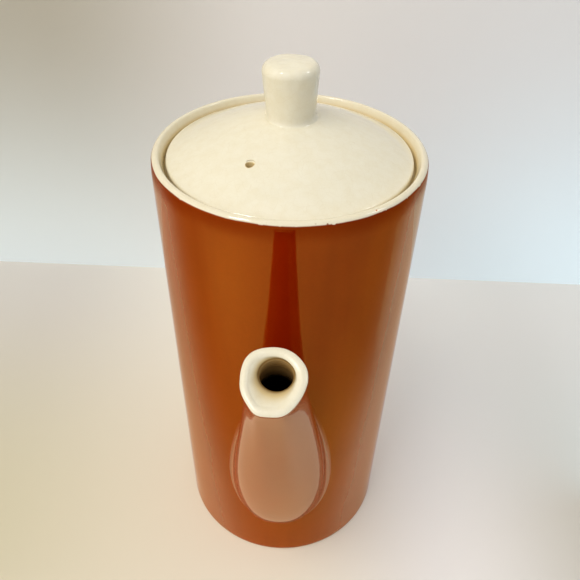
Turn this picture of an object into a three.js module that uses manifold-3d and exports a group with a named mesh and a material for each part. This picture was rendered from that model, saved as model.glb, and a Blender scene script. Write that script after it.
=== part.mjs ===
// A glazed earthenware coffee pot: a straight cylinder with a low-set spout, a looped handle
// opposite it, and a loose lid that drops into the rim.
// Millimetres, +Z up. The origin is the middle of the foot, on the table. The spout points
// along -Y and the handle along +Y.

import * as THREE from 'three';
import { LoftGeometry } from 'three/addons/geometries/LoftGeometry.js';
import { mergeVertices } from 'three/addons/utils/BufferGeometryUtils.js';
import Module from 'manifold-3d';

const { cos, sin, PI } = Math;
const { lerp, degToRad } = THREE.MathUtils;

// ---------------------------------------------------------------- driving dimensions

const JOINT_GAP = 0.3;          // space left where two clay pieces are stuck together
const ROUND_SEGMENTS = 72;      // facets round the pot and its lid

// Body
const BODY_R = 52.5;
const BODY_H = 211;
const WALL = 4.5;
const FLOOR_THICK = 5;
const FLOOR_ROUND = 6;          // inside, where the wall turns into the floor
const FOOT_RING_W = 6;
const FOOT_RECESS = 2.5;
const FOOT_ROUND = 1.6;

// Rim and the ledge inside it that carries the lid
const RIM_ROUND = 2;
const GALLERY_R = 47.9;         // wall that surrounds the lid's edge
const GALLERY_TOP = 207.5;      // height where that wall starts to curve into the rim
const LEDGE_Z = 205;
const LEDGE_THICK = 4;
const LEDGE_TAPER = 6;          // height over which the ledge's underside falls back to the wall
const THROAT_R = 43.5;          // opening that the lid's flange drops into

// Lid
const LID_R = 46.9;
const LID_EDGE_TOP = 209;
const LID_EDGE_ROUND = 1;
const LID_TOP = 223;            // height of the lid where the knob stands
const LID_THICK = 4;
const FLANGE_R = 42.5;
const FLANGE_W = 3.5;
const FLANGE_DEPTH = 9;
const FLANGE_ROUND = 1;
const FLANGE_ROOT = 1.5;        // height of the flange's inside above the ledge
const CROWN_MARGIN = 1.5;       // flat ring of the lid left showing round the knob
const LID_BEND = 0.62;          // share of the way up and in where the lid's slope bends most
const VENT_R = 1.6;
const VENT_X = -12.9;
const VENT_Y = -25.6;

// Knob
const KNOB_BASE_R = 9.1;
const KNOB_TOP_R = 10.4;
const KNOB_H = 20;
const KNOB_ROUND = 3;
const KNOB_CROWN = 0.5;         // rise of the knob's top at its middle

// Spout: its seam on the wall, its mouth, and the curves that run from one to the other
const SEAM_LOW = 33;
const SEAM_HIGH = 131.3;
const SEAM_HALF_W = 20;
const SEAM_SAG = 0.3;           // makes the seam widest below its middle
const SEAM_FULLNESS = 0.8;      // 1 is an ellipse, less is fuller
const MOUTH_Y = -97.8;
const MOUTH_Z = 189;
const MOUTH_TILT = degToRad(20);
const MOUTH_HALF_LENGTH = 10.4;
const MOUTH_HALF_W = 9.55;
const MOUTH_SHIFT = 0.4;
const MOUTH_TAPER = 0.12;       // narrows the mouth towards its pouring tip
const TIP_FULLNESS = 0.32;      // blunts that tip, where 0 would leave it oval
const LIP_W = 2.9;
const LIP_RISE = 0.8;
const BORE_HALF_LENGTH = 4.6;
const BORE_HALF_W = 5.3;
const BORE_DEPTH = 2.3;         // how far below the mouth the bore starts
const BORE_SLANT = 1.2;         // how much lower it starts in front, and higher at the back
const BORE_SHIFT = 3.3;         // how far the bore sits behind the mouth's middle
const SPOUT_WALL = 5.5;         // measured along the pot's wall at the seam
const UNDERSIDE = { climb: degToRad(40), reach: 34, lean: degToRad(27), neck: 52.5 };
const CROTCH = { climb: degToRad(56), reach: 20, lean: degToRad(34), neck: 25.8 };
const FLANK = { climb: degToRad(4), reach: 10 };    // what the sides add to these
const SEAM_PINCH = 0.92;
const SPOUT_POINTS = 40;        // points round each ring of the spout

// Strainer holes through the wall behind the spout
const STRAINER_R = 2.6;
const STRAINER_PITCH = 9;
const STRAINER_ROW_RISE = 8;
const STRAINER_Z = 74;

// Handle
const HANDLE_TOP_Z = 177;
const HANDLE_LOW_Z = 68;
const HANDLE_BULGE_Z = 142;     // height where the handle stands furthest out
const HANDLE_LEAVE = { out: 30, up: 7 };     // how it leaves the wall at the top
const HANDLE_SHOULDER = 38;     // height of the pull on its top bend
const HANDLE_BELLY = 32;        // and of the pull on its lower bend
const HANDLE_RETURN = { out: 22, up: 16 };   // how it comes back to the wall at the bottom
const HANDLE_W = [19, 15];      // across, at the top and at the bottom
const HANDLE_THICK = 11;
const HANDLE_RINGS = 30;
const HANDLE_POINTS = 20;

const GLAZE = { rust: '#a8591f', cream: '#efe6cc' };

// ---------------------------------------------------------------- helpers

const wasm = await Module();
wasm.setup();

function glazed(name, geometry, color) {
  const material = new THREE.MeshStandardMaterial({ color, roughness: 0.12, metalness: 0 });
  const mesh = new THREE.Mesh(geometry, material);
  mesh.name = name;
  return mesh;
}

// Turns an outline of (radius, height) about the vertical axis.
function turned(outline, segments) {
  return new THREE.LatheGeometry(outline, segments).rotateX(PI / 2);
}

// A closed geometry as a solid for cutting. Triangles that shrink to a line on the axis go.
function solidOf(geometry) {
  const bare = new THREE.BufferGeometry();
  bare.setAttribute('position', geometry.getAttribute('position'));
  bare.setIndex(geometry.index);
  const merged = mergeVertices(bare, 1e-3);
  const corners = [];
  for (let i = 0; i < merged.index.count; i += 3) {
    const [a, b, c] = [0, 1, 2].map((k) => merged.index.getX(i + k));
    if (a !== b && b !== c && c !== a) {
      corners.push(a, b, c);
    }
  }
  return new wasm.Manifold(new wasm.Mesh({
    numProp: 3,
    vertProperties: merged.attributes.position.array,
    triVerts: new Uint32Array(corners),
  }));
}

function geometryOf(solid) {
  const mesh = solid.getMesh();
  const geometry = new THREE.BufferGeometry();
  geometry.setAttribute('position', new THREE.BufferAttribute(mesh.vertProperties, 3));
  geometry.setIndex(new THREE.BufferAttribute(mesh.triVerts, 1));
  geometry.computeVertexNormals();
  return geometry;
}

// Evenly spaced angles round a ring, without repeating the first.
function turns(count) {
  return Array.from({ length: count }, (_, i) => (2 * PI * i) / count);
}

// ---------------------------------------------------------------- pot body

function bodyOutline() {
  const inside = BODY_R - WALL;
  const rimCrest = BODY_R - RIM_ROUND;
  const footInside = BODY_R - FOOT_ROUND - FOOT_RING_W;
  const floorTop = FOOT_RECESS + FLOOR_THICK;
  const outline = new THREE.Path();
  outline.moveTo(0, FOOT_RECESS);
  outline.lineTo(footInside - FOOT_RECESS, FOOT_RECESS);
  outline.lineTo(footInside, 0);
  outline.absarc(BODY_R - FOOT_ROUND, FOOT_ROUND, FOOT_ROUND, -PI / 2, 0, false);
  outline.absarc(rimCrest, BODY_H - RIM_ROUND, RIM_ROUND, 0, PI / 2, false);
  outline.absellipse(
    rimCrest, GALLERY_TOP, rimCrest - GALLERY_R, BODY_H - GALLERY_TOP, PI / 2, PI, false,
  );
  outline.lineTo(GALLERY_R, LEDGE_Z);
  outline.lineTo(THROAT_R, LEDGE_Z);
  outline.lineTo(THROAT_R, LEDGE_Z - LEDGE_THICK);
  outline.lineTo(inside, LEDGE_Z - LEDGE_THICK - LEDGE_TAPER);
  outline.absarc(inside - FLOOR_ROUND, floorTop + FLOOR_ROUND, FLOOR_ROUND, 0, -PI / 2, true);
  outline.lineTo(0, floorTop);
  return outline.getPoints(2);
}

// Rows of two, three and two holes, small enough to hold back coarse coffee grounds.
function strainerHoles() {
  const places = [
    [-0.5, -1], [0.5, -1],
    [-1, 0], [0, 0], [1, 0],
    [-0.5, 1], [0.5, 1],
  ];
  return places.map(([across, row]) => {
    const drill = new THREE.CylinderGeometry(STRAINER_R, STRAINER_R, BODY_R, 16);
    const z = STRAINER_Z + row * STRAINER_ROW_RISE;
    drill.translate(across * STRAINER_PITCH, -BODY_R, z);
    return solidOf(drill);
  });
}

function potBody() {
  let solid = solidOf(turned(bodyOutline(), ROUND_SEGMENTS));
  for (const hole of strainerHoles()) {
    solid = solid.subtract(hole);
  }
  return glazed('pot_body', geometryOf(solid), GLAZE.rust);
}

// ---------------------------------------------------------------- spout

// A point of the seam on the wall. Turn 0 is its lowest point and half a turn its highest.
function seamPoint(turn, inset) {
  const across = Math.sign(sin(turn)) * Math.abs(sin(turn)) ** SEAM_FULLNESS;
  const x = (SEAM_HALF_W - inset) * across * (1 + SEAM_SAG * cos(turn));
  const y = -Math.sqrt((BODY_R + JOINT_GAP) ** 2 - x ** 2);
  const z = lerp(SEAM_LOW + inset, SEAM_HIGH - inset, (1 - cos(turn)) / 2);
  return new THREE.Vector3(x, y, z);
}

// A point in the leaning plane of the mouth, given forwards, sideways and above that plane.
function mouthFrame(ahead, side, above) {
  const y = MOUTH_Y - ahead * cos(MOUTH_TILT) - above * sin(MOUTH_TILT);
  const z = MOUTH_Z - ahead * sin(MOUTH_TILT) + above * cos(MOUTH_TILT);
  return new THREE.Vector3(side, y, z);
}

// The mouth's egg-shaped edge. Turn 0 is the pouring tip.
function mouthPoint(turn, inset, above) {
  const ahead = (MOUTH_HALF_LENGTH - inset) * cos(turn) - MOUTH_SHIFT;
  const fullness = 1 - TIP_FULLNESS * Math.max(cos(turn), 0) ** 2;
  const across = Math.sign(sin(turn)) * Math.abs(sin(turn)) ** fullness;
  const side = (MOUTH_HALF_W - inset) * across * (1 - MOUTH_TAPER * cos(turn));
  return mouthFrame(ahead, side, above);
}

function borePoint(turn) {
  const ahead = BORE_HALF_LENGTH * cos(turn) - BORE_SHIFT;
  const below = BORE_DEPTH + BORE_SLANT * cos(turn);
  return mouthFrame(ahead, BORE_HALF_W * sin(turn), -below);
}

// The curve up the spout's side from a point of the seam to the matching point of the mouth.
function rail(turn, start, end) {
  const under = (1 + cos(turn)) / 2;
  const flank = sin(turn) ** 2;
  const [climb, reach, lean, neck] = ['climb', 'reach', 'lean', 'neck'].map(
    (key) => lerp(CROTCH[key], UNDERSIDE[key], under) + (FLANK[key] ?? 0) * flank,
  );
  const leave = new THREE.Vector3(
    start.x * SEAM_PINCH, start.y - reach * cos(climb), start.z + reach * sin(climb),
  );
  const arrive = new THREE.Vector3(
    end.x, end.y + neck * sin(lean), end.z - neck * cos(lean),
  );
  return new THREE.CubicBezierCurve3(start, leave, arrive, end);
}

function spoutRings() {
  const round = turns(SPOUT_POINTS);
  const outerSteps = 12;
  const lipSteps = 4;
  const innerSteps = 9;
  const rings = [];
  for (let i = 0; i <= outerSteps; i += 1) {
    rings.push(round.map((turn) => (
      rail(turn, seamPoint(turn, 0), mouthPoint(turn, 0, 0)).getPoint(i / outerSteps)
    )));
  }
  for (let i = 1; i <= lipSteps; i += 1) {
    const over = (PI * i) / lipSteps;
    const inset = (LIP_W / 2) * (1 - cos(over));
    rings.push(round.map((turn) => mouthPoint(turn, inset, LIP_RISE * sin(over))));
  }
  for (let i = innerSteps; i >= 0; i -= 1) {
    rings.push(round.map((turn) => (
      rail(turn, seamPoint(turn, SPOUT_WALL), borePoint(turn)).getPoint(i / innerSteps)
    )));
  }
  rings.push(rings[0]);
  return rings;
}

function potSpout() {
  return glazed('pot_spout', new LoftGeometry(spoutRings()), GLAZE.rust);
}

// ---------------------------------------------------------------- handle

// The handle stands as far out behind the pot as the spout's lip does in front.
function handlePath() {
  const outermost = -mouthPoint(0, 0, 0).y - HANDLE_THICK / 2;
  const buried = BODY_R - WALL;
  const path = new THREE.CurvePath();
  path.add(new THREE.CubicBezierCurve3(
    new THREE.Vector3(0, buried, HANDLE_TOP_Z),
    new THREE.Vector3(0, buried + HANDLE_LEAVE.out, HANDLE_TOP_Z + HANDLE_LEAVE.up),
    new THREE.Vector3(0, outermost, HANDLE_BULGE_Z + HANDLE_SHOULDER),
    new THREE.Vector3(0, outermost, HANDLE_BULGE_Z),
  ));
  path.add(new THREE.CubicBezierCurve3(
    new THREE.Vector3(0, outermost, HANDLE_BULGE_Z),
    new THREE.Vector3(0, outermost, HANDLE_BULGE_Z - HANDLE_BELLY),
    new THREE.Vector3(0, buried + HANDLE_RETURN.out, HANDLE_LOW_Z + HANDLE_RETURN.up),
    new THREE.Vector3(0, buried, HANDLE_LOW_Z),
  ));
  return path;
}

function handleRings() {
  const path = handlePath();
  return Array.from({ length: HANDLE_RINGS + 1 }, (_, i) => {
    const along = i / HANDLE_RINGS;
    const middle = path.getPointAt(along);
    const heading = path.getTangentAt(along);
    const outwards = new THREE.Vector3(0, -heading.z, heading.y);
    const halfW = lerp(...HANDLE_W, along) / 2;
    return turns(HANDLE_POINTS).map((turn) => (
      middle.clone()
        .addScaledVector(outwards, (HANDLE_THICK / 2) * cos(turn))
        .add(new THREE.Vector3(halfW * sin(turn), 0, 0))
    ));
  });
}

function potHandle() {
  const bar = solidOf(new LoftGeometry(handleRings(), { capStart: true, capEnd: true }));
  const cutR = BODY_R + JOINT_GAP;
  const wallSpace = new THREE.CylinderGeometry(cutR, cutR, BODY_H, ROUND_SEGMENTS);
  wallSpace.rotateX(PI / 2).translate(0, 0, BODY_H / 2);
  return glazed('pot_handle', geometryOf(bar.subtract(solidOf(wallSpace))), GLAZE.rust);
}

// ---------------------------------------------------------------- lid and knob

function lidOutline() {
  const seat = LEDGE_Z + JOINT_GAP;
  const flangeIn = FLANGE_R - FLANGE_W;
  const flangeFoot = seat - FLANGE_DEPTH;
  const edgeIn = LID_R - LID_EDGE_ROUND;
  const crown = KNOB_BASE_R + CROWN_MARGIN;
  const turnIn = FLANGE_ROUND;
  const outline = new THREE.Path();
  outline.moveTo(0, LID_TOP - LID_THICK);
  outline.lineTo(crown, LID_TOP - LID_THICK);
  outline.lineTo(flangeIn, seat + FLANGE_ROOT);
  outline.absarc(flangeIn + turnIn, flangeFoot + turnIn, turnIn, PI, 1.5 * PI, false);
  outline.absarc(FLANGE_R - turnIn, flangeFoot + turnIn, turnIn, -PI / 2, 0, false);
  outline.lineTo(FLANGE_R, seat);
  outline.lineTo(edgeIn, seat);
  outline.absarc(edgeIn, seat + LID_EDGE_ROUND, LID_EDGE_ROUND, -PI / 2, 0, false);
  outline.absarc(edgeIn, LID_EDGE_TOP - LID_EDGE_ROUND, LID_EDGE_ROUND, 0, PI / 2, false);
  outline.quadraticCurveTo(
    LID_R * LID_BEND, lerp(LID_EDGE_TOP, LID_TOP, LID_BEND), crown, LID_TOP,
  );
  outline.lineTo(0, LID_TOP);
  return outline.getPoints(3);
}

function lidPlate() {
  const plate = solidOf(turned(lidOutline(), ROUND_SEGMENTS));
  const drill = new THREE.CylinderGeometry(VENT_R, VENT_R, LID_TOP - LEDGE_Z, 16);
  drill.rotateX(PI / 2).translate(VENT_X, VENT_Y, LID_TOP - LID_THICK);
  return glazed('lid_plate', geometryOf(plate.subtract(solidOf(drill))), GLAZE.cream);
}

function knobOutline() {
  const foot = LID_TOP + JOINT_GAP;
  const top = LID_TOP + KNOB_H;
  const outline = new THREE.Path();
  outline.moveTo(0, foot);
  outline.lineTo(KNOB_BASE_R, foot);
  outline.lineTo(KNOB_TOP_R, top - KNOB_ROUND);
  outline.absarc(KNOB_TOP_R - KNOB_ROUND, top - KNOB_ROUND, KNOB_ROUND, 0, PI / 2, false);
  outline.lineTo(0, top + KNOB_CROWN);
  return outline.getPoints(4);
}

function lidKnob() {
  return glazed('lid_knob', turned(knobOutline(), ROUND_SEGMENTS / 2), GLAZE.cream);
}

// ---------------------------------------------------------------- assembly

const pot = new THREE.Group();
pot.add(potBody(), potSpout(), potHandle());

const lid = new THREE.Group();
lid.add(lidPlate(), lidKnob());

const coffeePot = new THREE.Group();
coffeePot.add(pot, lid);

export default coffeePot;
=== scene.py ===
"""The looks of a glazed earthenware coffee pot, built round its CAD frame.

Metres, +Z up, spout along -Y and handle along +Y, as in the frame.
"""
import math

import bpy
import numpy as np
from mathutils import Matrix, Vector, noise


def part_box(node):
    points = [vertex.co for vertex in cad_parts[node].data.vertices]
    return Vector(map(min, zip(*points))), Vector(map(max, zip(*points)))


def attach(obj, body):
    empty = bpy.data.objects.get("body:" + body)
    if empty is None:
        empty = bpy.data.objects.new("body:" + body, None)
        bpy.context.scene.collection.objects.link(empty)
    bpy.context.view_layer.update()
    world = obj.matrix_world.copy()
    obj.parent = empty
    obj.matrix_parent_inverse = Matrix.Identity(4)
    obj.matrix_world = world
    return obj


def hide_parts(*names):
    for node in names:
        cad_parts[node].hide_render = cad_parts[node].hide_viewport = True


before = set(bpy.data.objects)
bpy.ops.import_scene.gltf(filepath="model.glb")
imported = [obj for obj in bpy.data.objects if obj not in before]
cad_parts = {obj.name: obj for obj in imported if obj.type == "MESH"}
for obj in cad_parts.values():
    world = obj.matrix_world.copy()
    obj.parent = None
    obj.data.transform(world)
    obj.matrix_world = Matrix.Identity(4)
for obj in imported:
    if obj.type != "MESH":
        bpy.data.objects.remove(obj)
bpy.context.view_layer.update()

MM = 0.001
TOUCHING = 1e-7                     # points closer than this are one point

# ---------------------------------------------------------------- sizes taken from the frame

_, body_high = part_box("pot_body")
_, handle_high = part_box("pot_handle")
lid_low, lid_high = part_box("lid_plate")
_, knob_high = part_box("lid_knob")

POT_R = body_high.x
POT_H = body_high.z
HANDLE_OUT = handle_high.y
LID_R = lid_high.x
LID_FOOT = lid_low.z
LID_TOP = lid_high.z
KNOB_R = knob_high.x
KNOB_TOP = knob_high.z

# ---------------------------------------------------------------- sizes that pieces share

WALL = 4.5 * MM
SEAT_GAP = 0.3 * MM                 # between the lid and its ledge
FLANGE_DEPTH = 9 * MM
LEDGE_Z = LID_FOOT + FLANGE_DEPTH - SEAT_GAP
GALLERY_R = LID_R + 1 * MM          # the recess that holds the lid
ROUND = 360                         # segments round the body and the lid


# ---------------------------------------------------------------- mesh helpers

SHARP_ANGLE = math.radians(50)
DRILL_OVERSHOOT = 3 * MM


def arc(centre, radius, start, end, count):
    """Points of an arc in the (radius, height) plane, angles in degrees."""
    angles = np.radians(np.linspace(start, end, count))
    return [(centre[0] + radius * math.cos(a), centre[1] + radius * math.sin(a)) for a in angles]


def bezier(points, count):
    """Points along the Bezier curve of these control points, of any number."""
    points = np.asarray(points, float)
    degree = len(points) - 1
    t = np.linspace(0, 1, count)[:, None]
    curve = sum(
        math.comb(degree, i) * t**i * (1 - t) ** (degree - i) * points[i]
        for i in range(degree + 1)
    )
    return [tuple(point) for point in curve]


def dense(outline, longest):
    """The same outline with its long straight stretches cut into short ones."""
    result = [outline[0]]
    for start, end in zip(outline, outline[1:]):
        length = math.dist(start, end)
        if length < TOUCHING:
            continue
        pieces = max(1, math.ceil(length / longest))
        for i in range(1, pieces + 1):
            share = i / pieces
            result.append(tuple(a + (b - a) * share for a, b in zip(start, end)))
    return result


def mesh_object(name, points, faces):
    mesh = bpy.data.meshes.new(name)
    mesh.from_pydata([tuple(p) for p in points], [], faces)
    mesh.validate()
    mesh.shade_smooth()
    made = bpy.data.objects.new(name, mesh)
    bpy.context.scene.collection.objects.link(made)
    return made


def skin(name, rings, loop=False):
    """A surface through rings of equal length. A ring of one point closes an end."""
    points, starts, faces = [], [], []
    for ring in rings:
        starts.append(len(points))
        points.extend(ring)
    pairs = list(zip(range(len(rings)), range(1, len(rings))))
    if loop:
        pairs.append((len(rings) - 1, 0))
    for a, b in pairs:
        count = max(len(rings[a]), len(rings[b]))
        for i in range(count):
            j = (i + 1) % count
            near = [starts[a]] if len(rings[a]) == 1 else [starts[a] + i, starts[a] + j]
            far = [starts[b]] if len(rings[b]) == 1 else [starts[b] + j, starts[b] + i]
            faces.append(near + far)
    return mesh_object(name, points, faces)


def turned(name, outline, segments):
    """An outline of (radius, height) turned about the vertical axis."""
    angles = np.linspace(0, 2 * math.pi, segments, endpoint=False)
    rings = []
    for radius, height in outline:
        if radius < TOUCHING:
            rings.append([(0, 0, height)])
        else:
            rings.append([(radius * math.sin(a), -radius * math.cos(a), height) for a in angles])
    return skin(name, rings)


def uneven(piece, depth, size, keep=None):
    """Sinks each point by up to this depth, as clay is never quite true.

    The hollows are about this size, and keep gives the share of the depth at each point.
    """
    mesh = piece.data
    moved = []
    for vertex in mesh.vertices:
        sink = 0.5 - 0.5 * noise.fractal(vertex.co / size, 1.0, 2.0, 2)
        sink = min(max(sink, 0.0), 1.0) * depth
        if keep is not None:
            sink *= keep(vertex.co)
        moved.append(vertex.co - vertex.normal * sink)
    for vertex, place in zip(mesh.vertices, moved):
        vertex.co = place
    mesh.update()


def ramp(value, low, high):
    """0 below low, 1 above high and smooth between."""
    share = min(max((value - low) / (high - low), 0.0), 1.0)
    return share * share * (3 - 2 * share)


def squarish(wave, fullness):
    """A sine or cosine made fuller where fullness is below 1, so that its ring gets squarer."""
    return np.sign(wave) * np.abs(wave) ** fullness


def hourglass(radius, half_length, flare):
    """The outline of a drill whose ends flare, so that it leaves rounded edges on its hole."""
    wide = radius + flare
    straight = half_length - flare
    lower = arc((wide, -straight), flare, 270, 180, 7)
    upper = arc((wide, straight), flare, 180, 90, 7)
    beyond = half_length + DRILL_OVERSHOOT
    return [(0, -beyond), (wide, -beyond), *lower, *upper, (wide, beyond), (0, beyond)]


def drilled(piece, drills):
    """Cuts the drills out of a piece and removes them."""
    for number, drill in enumerate(drills):
        cut = piece.modifiers.new(f"drill_{number}", "BOOLEAN")
        cut.operation = "DIFFERENCE"
        cut.solver = "EXACT"
        cut.object = drill
    bpy.context.view_layer.update()
    depsgraph = bpy.context.evaluated_depsgraph_get()
    mesh = bpy.data.meshes.new_from_object(piece.evaluated_get(depsgraph))
    piece.modifiers.clear()
    piece.data = mesh
    for drill in drills:
        bpy.data.objects.remove(drill)
    mesh.shade_smooth()
    mesh.set_sharp_from_angle(angle=SHARP_ANGLE)
    return piece


# ---------------------------------------------------------------- pot body

FOOT_W = 6 * MM
FOOT_RECESS = 2.5 * MM
FOOT_ROUND = 1.6 * MM
FOOT_INNER_ROUND = 0.6 * MM
FLOOR_TOP = 7.5 * MM
FLOOR_ROUND = 6 * MM
SHOULDER = 0.35 * MM                # how far the wall turns in below the rim
SHOULDER_DROP = 9 * MM
SHOULDER_PULL = 5 * MM
RIM_ROUND = 2.1 * MM
RIM_SLOPE_DROP = 3.3 * MM           # the soft slope from the rim into the gallery
RIM_SLOPE_LEAVE = 1.1 * MM
RIM_SLOPE_ARRIVE = (1 * MM, 1.7 * MM)
LEDGE_ROUND = 0.8 * MM
LEDGE_THICK = 4 * MM
LEDGE_FADE = 10 * MM                # where it has run out into the wall
THROAT_R = 43.5 * MM
BODY_STEP = 3 * MM
BODY_DENT = 0.10 * MM
BODY_DENT_SIZE = 40 * MM
TRUE_FOOT = (3 * MM, 10 * MM)       # heights between which the dents fade in
TRUE_SEAMS = (24 * MM, 34 * MM)     # and distances from the middle plane
STRAINER_R = 2.6 * MM
STRAINER_FLARE = 0.7 * MM
STRAINER_PITCH = 9 * MM
STRAINER_RISE = 8 * MM
STRAINER_Z = 74 * MM
STRAINER_PLACES = [(-0.5, -1), (0.5, -1), (-1, 0), (0, 0), (1, 0), (-0.5, 1), (0.5, 1)]


def rim_outline():
    """The turn in from the wall, the rounded rim and its slope down to the gallery."""
    crest = POT_R - SHOULDER - RIM_ROUND
    shoulder = [
        (POT_R, POT_H - SHOULDER_DROP), (POT_R, POT_H - SHOULDER_PULL),
        (POT_R - SHOULDER, POT_H - RIM_ROUND),
    ]
    slope = [
        (crest, POT_H), (crest - RIM_SLOPE_LEAVE, POT_H),
        (GALLERY_R + RIM_SLOPE_ARRIVE[0], POT_H - RIM_SLOPE_ARRIVE[1]),
        (GALLERY_R, POT_H - RIM_SLOPE_DROP),
    ]
    rounded = arc((crest, POT_H - RIM_ROUND), RIM_ROUND, 8, 90, 16)
    return bezier(shoulder, 10) + rounded + bezier(slope, 18)


def body_outline():
    """From the middle of the underside out, up the wall, and down the inside to the floor."""
    inside = POT_R - WALL
    foot_inside = POT_R - FOOT_ROUND - FOOT_W
    outline = [(0, FOOT_RECESS), (foot_inside - FOOT_RECESS, FOOT_RECESS)]
    outline += arc((foot_inside + FOOT_INNER_ROUND, FOOT_INNER_ROUND), FOOT_INNER_ROUND, 200, 270, 6)
    outline += arc((POT_R - FOOT_ROUND, FOOT_ROUND), FOOT_ROUND, -90, 0, 12)
    outline += rim_outline()
    outline += [(GALLERY_R, LEDGE_Z + LEDGE_ROUND)]
    outline += arc((GALLERY_R - LEDGE_ROUND, LEDGE_Z + LEDGE_ROUND), LEDGE_ROUND, 0, -90, 6)
    outline += arc((THROAT_R + LEDGE_ROUND, LEDGE_Z - LEDGE_ROUND), LEDGE_ROUND, 90, 180, 6)
    outline += [(THROAT_R, LEDGE_Z - LEDGE_THICK), (inside, LEDGE_Z - LEDGE_FADE)]
    outline += arc((inside - FLOOR_ROUND, FLOOR_TOP + FLOOR_ROUND), FLOOR_ROUND, 0, -90, 10)
    outline += [(0, FLOOR_TOP)]
    return dense(outline, BODY_STEP)


def strainer_drills():
    """One drill for each hole through the wall behind the spout."""
    level = Matrix.Rotation(math.radians(90), 4, "X")
    drills = []
    for across, row in STRAINER_PLACES:
        x = across * STRAINER_PITCH
        surface = math.sqrt(POT_R**2 - x**2)
        drill = turned("drill", hourglass(STRAINER_R, WALL / 2, STRAINER_FLARE), 32)
        place = Matrix.Translation((x, -surface + WALL / 2, STRAINER_Z + row * STRAINER_RISE))
        drill.data.transform(place @ level)
        drills.append(drill)
    return drills


def make_body():
    body = turned("body_shell", body_outline(), ROUND)

    def free(p):
        """The wall stays true at the foot and where the spout and handle join it."""
        return ramp(p.z, *TRUE_FOOT) * ramp(abs(p.x), *TRUE_SEAMS)

    uneven(body, BODY_DENT, BODY_DENT_SIZE, keep=free)
    return drilled(body, strainer_drills())


# ---------------------------------------------------------------- spout

SEAM_LOW = 33 * MM
SEAM_HIGH = 131.3 * MM
SEAM_HALF_W = 20 * MM
SEAM_SAG = 0.3                      # wider by this share below, and narrower above
SEAM_FULLNESS = 0.8
FILLET = 3 * MM
FILLET_SOFTEN = 0.5
FILLET_TUCK = [(1.5 * MM, 0.9 * MM), (1.2 * MM, 0.03 * MM)]     # outside the fillet, and deep
FLUSH_R = POT_R - 0.03 * MM         # a hair inside the wall's face
MOUTH = Vector((0, -97.8 * MM, 189 * MM))
MOUTH_TILT = math.radians(20)
MOUTH_NORMAL = np.array([0, -math.sin(MOUTH_TILT), math.cos(MOUTH_TILT)])
MOUTH_HALF_LENGTH = 10.4 * MM
MOUTH_HALF_W = 9.55 * MM
MOUTH_SHIFT = 0.4 * MM
MOUTH_TAPER = 0.12
TIP_FULLNESS = 0.36
TIP_ASKEW = -1.2 * MM
HAND_CUT = [(90, -0.04), (135, -0.045), (225, 0.075), (282, 0.04), (320, -0.03)]
HAND_CUT_SPREAD = 26
LIP_W = 2.9 * MM
LIP_RISE = 0.6 * MM
LIP_ASKEW = -0.45 * MM
LIP_SHARES = [0.02, 0.06, 0.12, 0.2, 0.3, 0.4, 0.5, 0.6, 0.7, 0.8, 0.9, 1]
LIP_FULLNESS = 0.6
DISH_FULLNESS = 0.35
BORE_HALF_LENGTH = 4.6 * MM
BORE_HALF_W = 5.3 * MM
BORE_ASIDE = 0.2 * MM
BORE_LENGTH = 14 * MM
BORE_FIRST = 0.2 * MM
BORE_BACK = 3.3 * MM
BORE_DEPTH = 2.3 * MM               # its edge lies this far below the lip, more at the tip
BORE_SLANT = 1.2 * MM
RIDGE_PITCH = 1.6 * MM
RIDGE_DEPTH = 0.5 * MM
RIDGES_END = 7 * MM
UNDERSIDE = {"climb": 40, "reach": 34 * MM, "lean": 27, "neck": 52.5 * MM}
CROTCH = {"climb": 56, "reach": 20 * MM, "lean": 34, "neck": 25.8 * MM}
FLANK = {"climb": 4, "reach": 10 * MM}
SEAM_PINCH = 0.92
OUTER_START = 0.065                 # the rails' share that the fillet takes up
SPOUT_WALL = 5.5 * MM
INNER_END_R = POT_R - 1.5 * MM
LIP_STAIN = 0.03
DISH_STAIN = 0.2
# painted shade with coffee stain: the bore darkens from here to black with depth, its ridges' crests
# less so
BORE_STAIN_AND_SHADE = 0.52
RIDGE_LESS_STAIN_AND_SHADE = 0.16
SPOUT_TURNS = 2 * math.pi * np.arange(180) / 180
TURN_COS = np.cos(SPOUT_TURNS)      # 1 at the underside and the pouring tip
TURN_SIN = np.sin(SPOUT_TURNS)


def seam_ring(inset, radius):
    """The closed line where the spout meets the wall, from its lowest point round."""
    x = (SEAM_HALF_W - inset) * squarish(TURN_SIN, SEAM_FULLNESS) * (1 + SEAM_SAG * TURN_COS)
    z = (SEAM_LOW + inset) + (SEAM_HIGH - SEAM_LOW - 2 * inset) * (1 - TURN_COS) / 2
    return np.stack([x, -np.sqrt(radius**2 - x**2), z], axis=1)


def mouth_place(ahead, side, above):
    """Points given forwards, sideways and above in the leaning plane of the mouth."""
    y = MOUTH.y - ahead * math.cos(MOUTH_TILT) - above * math.sin(MOUTH_TILT)
    z = MOUTH.z - ahead * math.sin(MOUTH_TILT) + above * math.cos(MOUTH_TILT)
    return np.stack([side, y, z], axis=1)


def hand_cut():
    """How far out the lip was trimmed by hand at each turn round it, where 1 is a true egg."""
    result = np.ones(len(SPOUT_TURNS))
    for at, share in HAND_CUT:
        apart = (np.degrees(SPOUT_TURNS) - at + 180) % 360 - 180
        result += share * np.exp(-((apart / HAND_CUT_SPREAD) ** 2))
    return result


def mouth_ring(inset, above):
    """A ring of the lip, whose pouring tip and opening sit a little to one side."""
    tip = np.maximum(TURN_COS, 0)
    fullness = 1 - TIP_FULLNESS * tip**2
    ahead = (MOUTH_HALF_LENGTH - inset) * TURN_COS * hand_cut() - MOUTH_SHIFT
    side = (MOUTH_HALF_W - inset) * squarish(TURN_SIN, fullness) * hand_cut()
    side = side * (1 - MOUTH_TAPER * TURN_COS) + TIP_ASKEW * tip
    return mouth_place(ahead, side + LIP_ASKEW * inset / LIP_W, above)


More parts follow.
